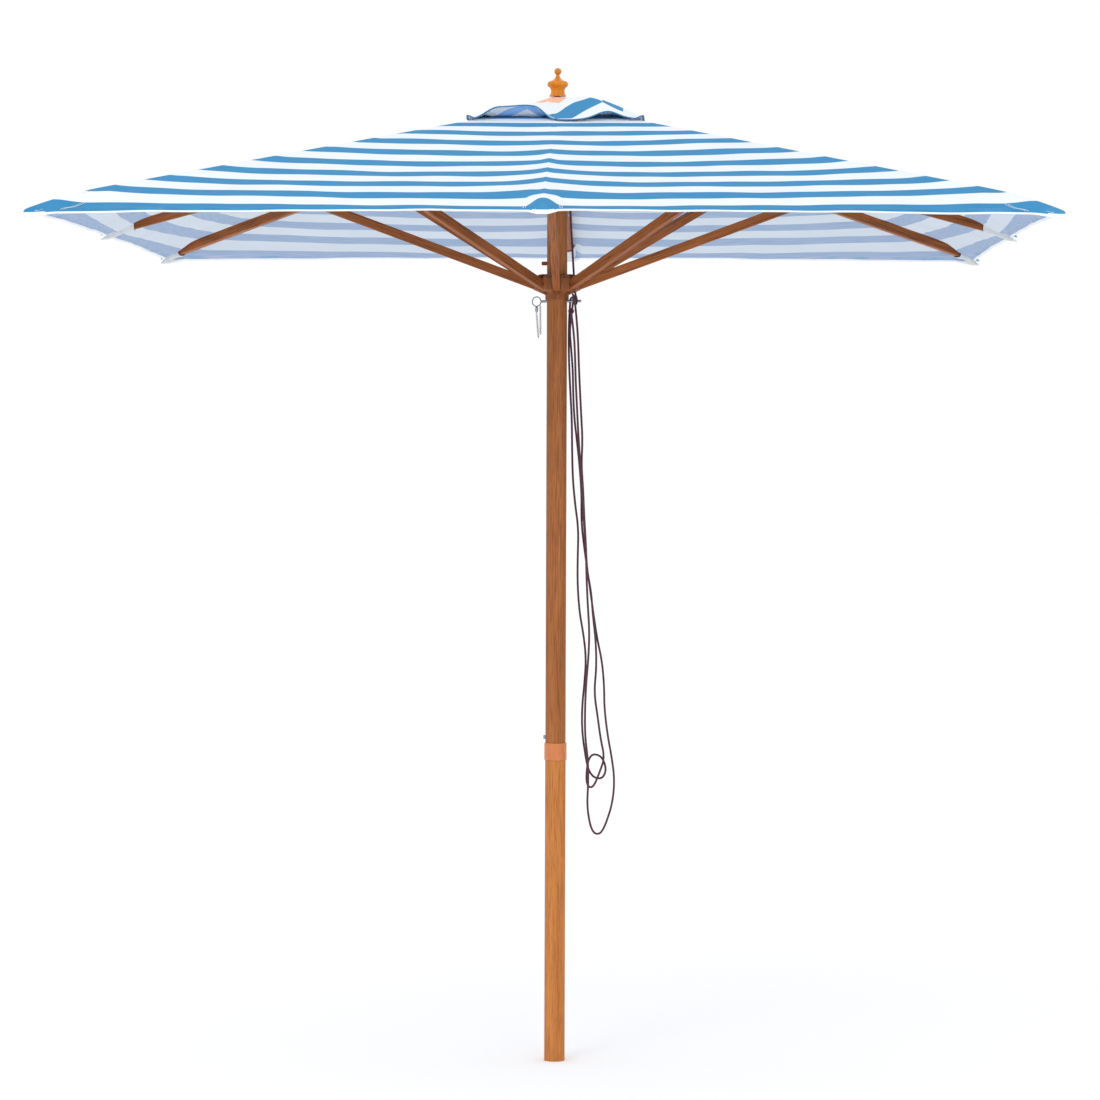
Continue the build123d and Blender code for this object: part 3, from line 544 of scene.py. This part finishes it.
def make_canopy(name):
    points, uvs = canopy_points(name)
    piece = grid_object(f"canvas_{name}", points, uvs, [canvas_top, canvas_under, hem_white])
    # the hem's faces are white, and start a little sooner over a tip
    over = over_rib_tip(np.array(sector_columns(name))[:-1, 1])
    hem = CLOTH_ROWS[:-1, None] >= HEM_ROW - 2.0 * (over > 0.5)
    piece.data.polygons.foreach_set("material_index", (hem * 2).astype(np.int32).ravel())
    thicken(piece, CLOTH, 1, rim=False)
    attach(piece, f"rib_{name}")
    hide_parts(f"canopy_{name}")
    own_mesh(piece)


for place in AZIMUTHS:
    make_canopy(place)

# ---- vent cap and crown -------------------------------------------------------------
CAP_TOP_Z, CAP_EDGE_Z = 2231.5, 2181.5
CAP_ROWS = np.concatenate([np.linspace(CROWN_HALF, 185, 20), np.linspace(189, CAP_HALF, 5)])
CAP_TS = np.linspace(0, 1, 37)


def cap_columns(name):
    azimuth = AZIMUTHS[name]
    return [(azimuth - 45, t) for t in CAP_TS] + [(azimuth + 45, -t) for t in CAP_TS[-2::-1]]


def cap_height(d, t, azimuth, x, y):
    """The cap is a low pyramid that the wind has lifted at its front."""
    fall = (d - CROWN_HALF) / (CAP_HALF - CROWN_HALF)
    z = CAP_TOP_Z + (CAP_EDGE_Z - CAP_TOP_Z) * fall + 4 * bell((np.abs(t) - 0.5) / 0.3) * smooth(fall)
    front = (azimuth == 270) * 1.0
    # the left half of the front edge stands up in an arch, with a hollow behind it
    arch = smooth((x + 190) / 62) * smooth((-1 - x) / 46) * front
    z = z + arch * (24 * smooth((d - 148) / 50) - 15 * bell((d - 138) / 28))
    z = z + arch * 4 * bell((x + 62) / 30) * smooth((d - 150) / 50)
    # its right half is blown up beside the crown, and gapes a little near the corner
    puff = np.interp(x, (2, 20, 60, 91, 104, 144, 204), (0, 13, 17, 22, 22, 18, 8))
    z = z + puff * bell((y + 60) / 78) * smooth((d - CROWN_HALF) / 12)
    z = z + 13 * bell((x - 120) / 32) * smooth((d - 160) / 40) * front
    curl = smooth((np.abs(t) - 0.90) / 0.10) * smooth((d - 182) / 18)
    z = z + 7 * curl
    lowest = canopy_height(np.maximum(d, VENT_HALF), t) + 2.4
    return np.where(d > VENT_HALF - 8, np.maximum(z, lowest), z)


def swept_stripe(d, x):
    """Cloth coordinate of the cap's front, whose one stripe climbs from the edge to the crown."""
    share = (CAP_HALF - d) / (CAP_HALF - CROWN_HALF)
    stations = (-200, -150, -110, -64, -25, 0, 38, 79, 112)
    middle = np.interp(x, stations, (0.46, 0.42, 0.24, 0.10, 0.24, 0.19, 0.36, 0.62, 0.76))
    half = np.interp(x, stations, (0.16, 0.10, 0.08, 0.06, 0.08, 0.14, 0.30, 0.20, 0.10))
    off = np.clip((share - middle) / half * BLUE_SHARE / 2, -0.49, 0.49)
    return STRIPE_AT - STRIPE_PITCH * (1 + off)


def cap_points(name):
    azimuths, ts = np.array(cap_columns(name)).T
    rows = CAP_ROWS[:, None]
    t = np.broadcast_to(ts, (len(CAP_ROWS), len(ts)))
    turn = np.radians(azimuths)
    front_right = (azimuths == 270) * (ts > 0)
    x0 = rows * np.cos(turn) - t * rows * np.sin(turn)
    d = rows + 13 * bell((x0 - 45) / 50) * smooth((rows - 150) / 50) * front_right
    x = d * np.cos(turn) - t * d * np.sin(turn)
    y = d * np.sin(turn) + t * d * np.cos(turn)
    z = cap_height(d, t, azimuths, x, y) + 0.5 * ripple(x, y) * smooth((rows - 70) / 40)
    front = (azimuths == 270) & (np.abs(ts) < 0.999)
    v = np.where(front, swept_stripe(rows, x), rows + 22)
    return np.stack([x, y, z], -1), np.stack([t * rows, v], -1) * MM


def band_along(name, path, out, width, thick, material):
    """A binding folded round an edge: a flattened tube along a path of points."""
    way = np.gradient(path, axis=0)
    way /= np.linalg.norm(way, axis=1)[:, None]
    up = np.cross(way, out)
    up /= np.linalg.norm(up, axis=1)[:, None]
    side = np.cross(up, way)
    angles = np.linspace(0, 2 * pi, 13)
    rings = [path + side * width / 2 * cos(a) + up * thick / 2 * sin(a) for a in angles]
    points = np.stack(rings, 1)
    uvs = np.zeros((*points.shape[:2], 2))
    return grid_object(name, points, uvs, [material])


def make_cap(name):
    points, uvs = cap_points(name)
    piece = grid_object(f"cap_{name}", points, uvs, [cap_top, cap_under_painted_light])
    thicken(piece, CLOTH, 1, rim=False)
    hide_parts(f"vent_cap_{name}")
    edge = points[-1]
    out = np.tile(ray(AZIMUTHS[name]), (len(edge), 1))
    binding = band_along(f"cap_binding_{name}", edge, out, 5.0, 3.0, binding_blue)
    for part in (piece, binding):
        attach(part, f"rib_{name}")
        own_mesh(part)


for place in CORNERS:
    make_cap(place)


def crown_grid(inner, outer, turns, lift, waver):
    """Rings from the finial's foot out to the crown's seam, round an arc of azimuths."""
    rows = np.linspace(0, 1, 9)[:, None]
    angle = np.radians(turns)[None, :]
    square = 1 / np.maximum(np.abs(np.cos(angle)), np.abs(np.sin(angle)))
    ragged = 1 + waver * (np.sin(angle * 7) + 0.6 * np.sin(angle * 17 + 1)) * rows
    far = outer * (0.35 + 0.65 * square) * ragged
    r = inner + (far - inner) * rows
    z = 2248.6 - 17.5 * rows**1.15 + lift
    points = np.stack([r * np.cos(angle), r * np.sin(angle), z + 0 * r], -1)
    uvs = np.stack([r * np.cos(angle), r * np.sin(angle)], -1) * MM
    return points, uvs


def make_crown():
    points, uvs = crown_grid(6.0, CROWN_HALF + 2.5, np.linspace(0, 360, 97), 0.0, 0.0)
    crown = grid_object("crown", points, uvs, [hem_white])
    thicken(crown, CLOTH)
    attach(crown, "upper_pole")
    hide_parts("crown_cloth")
    points, uvs = crown_grid(6.0, CROWN_HALF + 1.5, np.linspace(150, 318, 73), 1.1, 0.03)
    patch = grid_object("crown_patch", points, uvs, [patch_peach])
    thicken(patch, CLOTH)
    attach(patch, "upper_pole")


make_crown()


# ---- pockets on the rib tips, and their stitches ------------------------------------
POCKET_LENGTH = 76.0
POCKET_REACH, POCKET_ROOM = 1063.5, 30.0
POCKET_OUTLINE = [                   # across the rib, and how far from its lower edge
    (-19.5, None), (-15.5, 8.0), (-12.0, 2.5), (-9.8, -1.4), (-6.0, -2.6), (0.0, -3.0),
    (6.0, -2.6), (9.8, -1.4), (12.0, 2.5), (15.5, 8.0), (19.5, None),
]


def rib_straight(s, corner):
    """Height of a rib's top edge and its depth at s from the axis, as if its end didn't taper."""
    slope, top = (CORNER_SLOPE, CORNER_TOP_Z) if corner else (SIDE_SLOPE, SIDE_TOP_Z)
    return top - (s - PIVOT_R) * tan(radians(slope)), RIB_DEPTH / cos(radians(slope))


def cloth_under(s, corner, across):
    """Height of the canopy's lower face beside a rib."""
    across = abs(across)
    d = (s + across) / sqrt(2) if corner else s
    t = (s - across) / (s + across) if corner else across / s
    return float(canopy_height(np.array(d), np.array(t))) - 1.4


def make_pocket(name):
    azimuth, corner = AZIMUTHS[name], name in CORNERS
    tip = CORNER_TIP_S if corner else SIDE_TIP_S
    out, across = ray(azimuth), ray(azimuth + 90)
    stations = np.concatenate([np.linspace(tip - POCKET_LENGTH, tip - 6, 12), (tip - 2, tip + 1.0)])
    grid = []
    for s in stations:
        top, depth = rib_straight(s, corner)
        droop = 4.5 * smooth((s - tip + 45) / 40) + 1.2 * sin(s / 9.0)
        closing = smooth((s - tip + 7) / 8)
        # a corner pocket narrows towards the canopy's corner
        room = POCKET_REACH * sqrt(2) - s if corner else POCKET_ROOM
        row = []
        for width, above in POCKET_OUTLINE:
            width = max(-room, min(room, width))
            under = cloth_under(min(s, tip - 4), corner, width)
            z = under if above is None else min(top - depth + above - droop, under - 0.5)
            z += closing * (under - 3.0 - z) * 0.75
            row.append(out * s + across * width * (1 - 0.25 * closing) + np.array((0, 0, z)))
        grid.append(row)
    points = np.array(grid)[::-1]
    piece = grid_object(f"tip_pocket_{name}", points, np.zeros((*points.shape[:2], 2)), [pocket_grey])
    thicken(piece, CLOTH)
    piece.modifiers.new("round", "SUBSURF").levels = 1
    piece.modifiers["round"].render_levels = 1
    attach(piece, f"rib_{name}")


def make_stitches(name):
    """Bar tacks across the edge stripe, two on each side of a rib's tip."""
    corner = name in CORNERS
    sides = [(AZIMUTHS[name] - 45, -1), (AZIMUTHS[name] + 45, 1)] if corner else [
        (AZIMUTHS[name], -1), (AZIMUTHS[name], 1)]
    rows = np.linspace(1002 if corner else 1020, 1043, 16)
    strips = []
    for azimuth, sign in sides:
        for across in (35.0, 39.5):
            if corner:
                t = -sign * (1 - across * sqrt(2) / CANOPY_HALF) * np.ones_like(rows)
            else:
                t = sign * (across + np.linspace(-1.2, 1.2, len(rows))) / CANOPY_HALF
            d = edge_out(rows, t)
            z = canopy_height(d, t) - np.interp(rows, FALL_ROWS, FALL) + 0.9
            turn = radians(azimuth)
            strips.append(np.stack([d * cos(turn) - t * d * sin(turn),
                                    d * sin(turn) + t * d * cos(turn), z], -1))
    parts = [
        band_along(f"stitch_{name}_{i}", strip, np.tile(ray(AZIMUTHS[name] + 90), (len(strip), 1)),
                   1.3, 0.9, thread_white)
        for i, strip in enumerate(strips)
    ]
    for part in parts:
        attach(part, f"rib_{name}")
        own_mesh(part)


for place in AZIMUTHS:
    make_pocket(place)
    make_stitches(place)


# ---- finishes of the CAD parts ------------------------------------------------------
def finish_node(node, material):
    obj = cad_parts[node]
    obj.data.materials.clear()
    obj.data.materials.append(material)


DARK_WOOD, RED_WOOD = (0.100, 0.030, 0.008), (0.420, 0.130, 0.034)
steel = metal("steel", (0.40, 0.43, 0.50), 0.32)
chain_steel = metal("chain_steel", (0.17, 0.21, 0.25), 0.38)
bracket_steel = metal("bracket_steel", (0.50, 0.52, 0.55), 0.42)
# both poles are one wood; the upper pole's darker colours are painted shade from the canopy above it
finish_node("lower_pole", wood("lower_pole_wood", (0.32, 0.100, 0.022), (0.60, 0.225, 0.056)))
finish_node("upper_pole", wood("upper_pole_wood_painted_shade", (0.18, 0.052, 0.014), (0.44, 0.155, 0.044)))
for place, azimuth in AZIMUTHS.items():
    corner = place in CORNERS
    rib_slope = -CORNER_SLOPE if corner else -SIDE_SLOPE
    finish_node(f"rib_{place}", wood(f"rib_wood_{place}", DARK_WOOD, RED_WOOD, azimuth, rib_slope))
    strut_slope = 24.5 if corner else 19.5
    finish_node(f"strut_{place}", wood(f"strut_wood_{place}", DARK_WOOD, RED_WOOD, azimuth, strut_slope))
    finish_node(f"bracket_{place}", bracket_steel)
turned_wood = wood("turned_wood", (0.13, 0.040, 0.013), (0.33, 0.110, 0.034))
for node in ("runner", "top_hub"):
    finish_node(node, turned_wood)
finish_node("stop_peg", wood("peg_wood", (0.20, 0.045, 0.020), (0.34, 0.09, 0.04), 0.0, 0.0))
finish_node("finial", wood("finial_wood", (0.50, 0.140, 0.002), (0.76, 0.260, 0.005),
                           roughness=0.3, coat=0.3))
finish_node("pole_ferrule", enamel("ferrule_enamel", (0.63, 0.190, 0.045)))
finish_node("crown_washer", patch_peach)
finish_node("pulley_wheel", enamel("pulley_nylon", (0.03, 0.03, 0.03), 0.55))
for node in ("spigot_tube", "ferrule_screw", "hub_pins", "runner_pins", "pulley_axle", "finial_stud",
             "locking_pin", "chain_swivel"):
    finish_node(node, steel)
for node in ("pin_ring", "chain_links"):
    finish_node(node, chain_steel)
knot_braid = plain_cloth("knot_braid", CORD_LIGHT, CORD_MOTTLE_AND_GROOVE_SHADE, 420.0)
finish_node("cord_knots", knot_braid)


# ---- floor, light -------------------------------------------------------------------
def make_floor():
    mesh = bpy.data.meshes.new("floor")
    far = 60.0
    mesh.from_pydata([(-far, -far, 0), (far, -far, 0), (far, far, 0), (-far, far, 0)], [], [(0, 1, 2, 3)])
    material, nodes, links, shader = new_material("floor_paper", 0.95)
    shader.inputs["Base Color"].default_value = (0.97, 0.97, 0.97, 1)
    shader.inputs["Emission Color"].default_value = (1, 1, 1, 1)
    shader.inputs["Emission Strength"].default_value = 0.06
    shader.inputs["Specular IOR Level"].default_value = 0.0
    mesh.materials.append(material)
    floor = add_object("floor", mesh)


def area_light(name, place, target, size, power):
    data = bpy.data.lights.new(name, "AREA")
    data.shape, data.size, data.energy = "DISK", size, power
    light = add_object(name, data)
    way = Vector(target) - Vector(place)
    light.matrix_world = Matrix.Translation(place) @ way.to_track_quat("-Z", "Y").to_matrix().to_4x4()


def make_light():
    world = bpy.data.worlds.new("studio")
    world.use_nodes = True
    background = world.node_tree.nodes["Background"]
    background.inputs["Color"].default_value = (1.0, 1.0, 1.0, 1.0)
    background.inputs["Strength"].default_value = 1.0
    bpy.context.scene.world = world
    area_light("key", (-3.5, -6.5, 6.5), (0, 0, 1.6), 4.0, 110)
    area_light("front", (2.5, -8.0, 2.2), (0, 0, 1.2), 3.0, 60)
    view = bpy.context.scene.view_settings
    view.view_transform, view.look = "Standard", "None"


make_floor()
make_light()
